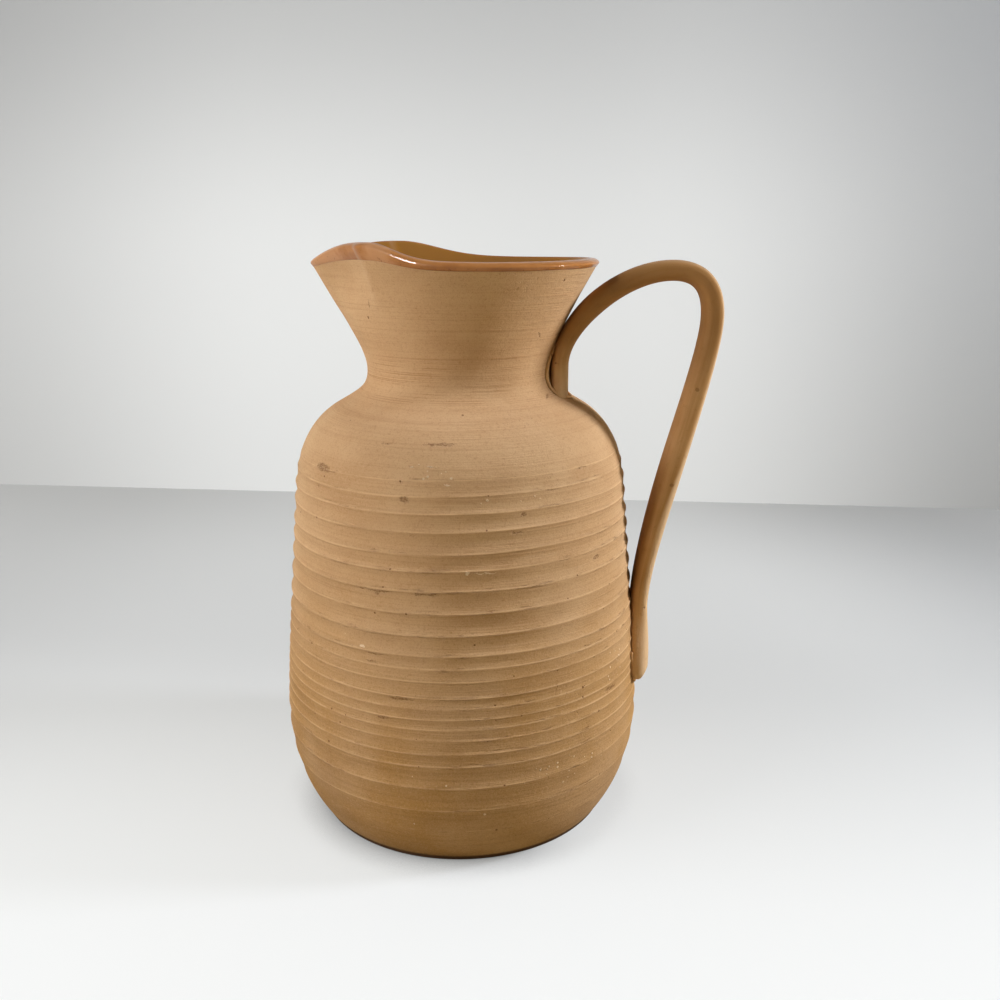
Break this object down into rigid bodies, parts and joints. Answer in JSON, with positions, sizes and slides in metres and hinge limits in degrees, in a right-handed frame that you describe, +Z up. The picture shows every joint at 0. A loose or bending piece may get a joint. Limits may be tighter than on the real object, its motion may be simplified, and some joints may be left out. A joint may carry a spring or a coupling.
{
  "type": "pitcher",
  "caption": "Wheel-thrown terracotta pitcher with a ringed body, narrow throat, flared neck, pulled spout, glazed lip and a strap handle.",
  "frame": {"origin": "centre of the foot's flat underside, on the surface the pitcher stands on", "axes": "+Z up along the wheel's axis, +X toward the handle, -X toward the spout, +Y to the left as the handle is looked at from the spout side"},
  "size_m": [0.192, 0.1612, 0.2524],
  "materials": {
    "clay_body": "unglazed, matt",
    "amber_glaze": "gloss",
    "lip_glaze": "gloss",
    "clay_handle": "unglazed, matt",
    "clay_slip": "unglazed, matt"
  },
  "bodies": {
    "root": {"thrown_body": "clay_body", "liner_glaze": "amber_glaze", "rim_glaze": "lip_glaze", "strap_handle": "clay_handle", "upper_joint_slip": "clay_slip", "lower_joint_slip": "clay_slip"}
  },
  "joints": []
}
